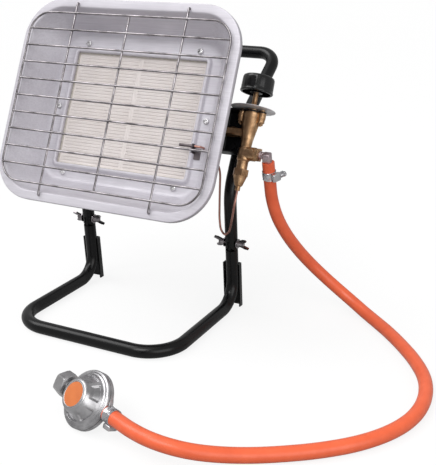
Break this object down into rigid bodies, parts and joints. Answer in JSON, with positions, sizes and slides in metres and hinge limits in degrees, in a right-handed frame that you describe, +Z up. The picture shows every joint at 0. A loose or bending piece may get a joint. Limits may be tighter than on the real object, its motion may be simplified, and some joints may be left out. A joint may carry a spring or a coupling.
{
  "type": "portable propane heater",
  "caption": "Portable gas radiant heater: a ceramic burner in a grey reflector pan with a wire guard, tilting on a black tube stand, with gas valve, orange hose and pressure regulator.",
  "frame": {"origin": "on the floor under the middle of the front bar of the stand", "axes": "+Z up, -Y the way the heater faces, +X towards the gas valve"},
  "size_m": [0.6157, 0.5483, 0.4341],
  "materials": {
    "frame_black": "glossy black powder coat on steel tube",
    "bracket_black": "satin black paint on folded steel sheet",
    "pan_grey": "light grey stove enamel, satin",
    "guard_zinc": "bright zinc-plated wire",
    "ceramic": "matt porous ceramic with fine flame holes",
    "gasket_fibre": "ceramic fibre, matt white",
    "burner_steel": "aluminised steel sheet",
    "fastener_zinc": "bright zinc plate",
    "valve_brass": "forged brass, dull",
    "knob_black": "satin black plastic",
    "dial_grey": "brushed plate",
    "elbow_nickel": "nickel-plated brass",
    "hose_orange": "smooth orange rubber",
    "clamp_steel": "zinc-plated band",
    "regulator_zinc": "die-cast zinc, tumbled",
    "nut_zinc": "zinc-plated, turned",
    "badge_orange": "orange insert, glossy",
    "seal_rubber": "black rubber",
    "lead_copper": "annealed copper tube",
    "probe_steel": "heat-tinted stainless steel"
  },
  "bodies": {
    "base": {"base_tube": "frame_black", "right_pivot_tongue": "fastener_zinc", "left_pivot_tongue": "fastener_zinc", "right_hook_channel": "frame_black", "left_hook_channel": "frame_black", "gas_hose": "hose_orange", "hose_lower_end": "hose_orange", "lower_hose_clamp": "clamp_steel", "lower_clamp_screw": "clamp_steel", "outlet_barb": "nut_zinc", "regulator_cap": "regulator_zinc", "regulator_badge": "badge_orange", "regulator_body": "regulator_zinc", "regulator_diaphragm": "seal_rubber", "inlet_stem": "nut_zinc", "inlet_seal": "seal_rubber"},
    "head": {"handle_frame": "frame_black", "reflector_pan": "pan_grey", "wire_guard": "guard_zinc", "burner_housing": "burner_steel", "left_ceramic_tile": "ceramic", "right_ceramic_tile": "ceramic", "tile_gasket": "gasket_fibre", "pan_screws": "fastener_zinc", "mixer_tube": "burner_steel", "left_head_bracket": "bracket_black", "right_head_bracket": "bracket_black", "bracket_spacers": "fastener_zinc", "bracket_bolts": "fastener_zinc", "foot_screws": "fastener_zinc", "valve_body": "valve_brass", "valve_bonnet": "valve_brass", "bonnet_screws": "fastener_zinc", "dial_plate": "dial_grey", "thermo_nut": "valve_brass", "injector": "valve_brass", "elbow_nut": "valve_brass", "hose_elbow": "elbow_nickel", "hose_upper_end": "hose_orange", "upper_hose_clamp": "clamp_steel", "upper_clamp_screw": "clamp_steel", "thermocouple_probe": "probe_steel", "probe_holder": "probe_steel", "thermocouple_lead": "lead_copper"},
    "union_nut": {"union_nut": "nut_zinc"},
    "collar": {"stem_collar": "valve_brass"},
    "knob": {"valve_stem": "valve_brass", "control_knob": "knob_black"},
    "right_wing_screw": {"right_wing_screw": "fastener_zinc"},
    "left_wing_screw": {"left_wing_screw": "fastener_zinc"},
    "right_wing_nut": {"right_wing_nut": "fastener_zinc"},
    "left_wing_nut": {"left_wing_nut": "fastener_zinc"}
  },
  "joints": [
    {"name": "tilt", "type": "hinge", "parent": "base", "child": "head", "pos_m": [0, 0.1909, 0.1023], "axis": [1, 0, 0], "range_deg": [-20, 25], "deforming": ["gas_hose"]},
    {"name": "knob_turn", "type": "hinge", "parent": "head", "child": "collar", "pos_m": [0.1484, 0.20196, 0.29522], "axis": [0, 0.4274, 0.9041], "range_deg": [0, 200]},
    {"name": "knob_press", "type": "slide", "parent": "collar", "child": "knob", "axis": [0, -0.4274, -0.9041], "range_m": [0, 0.005], "stiffness_N_per_m": 500, "springref_m": -0.004},
    {"name": "union_nut_turn", "type": "hinge", "parent": "base", "child": "union_nut", "pos_m": [0.07296, -0.13805, 0.02768], "axis": [-0.9272, 0.3746, 0], "continuous": true},
    {"name": "right_wing_screw_turn", "type": "hinge", "parent": "head", "child": "right_wing_screw", "pos_m": [0.1223, 0.1909, 0.1023], "axis": [1, 0, 0], "continuous": true},
    {"name": "right_wing_nut_turn", "type": "hinge", "parent": "head", "child": "right_wing_nut", "pos_m": [0.1223, 0.1909, 0.1023], "axis": [1, 0, 0], "continuous": true},
    {"name": "left_wing_screw_turn", "type": "hinge", "parent": "head", "child": "left_wing_screw", "pos_m": [-0.1223, 0.1909, 0.1023], "axis": [1, 0, 0], "continuous": true},
    {"name": "left_wing_nut_turn", "type": "hinge", "parent": "head", "child": "left_wing_nut", "pos_m": [-0.1223, 0.1909, 0.1023], "axis": [1, 0, 0], "continuous": true}
  ]
}
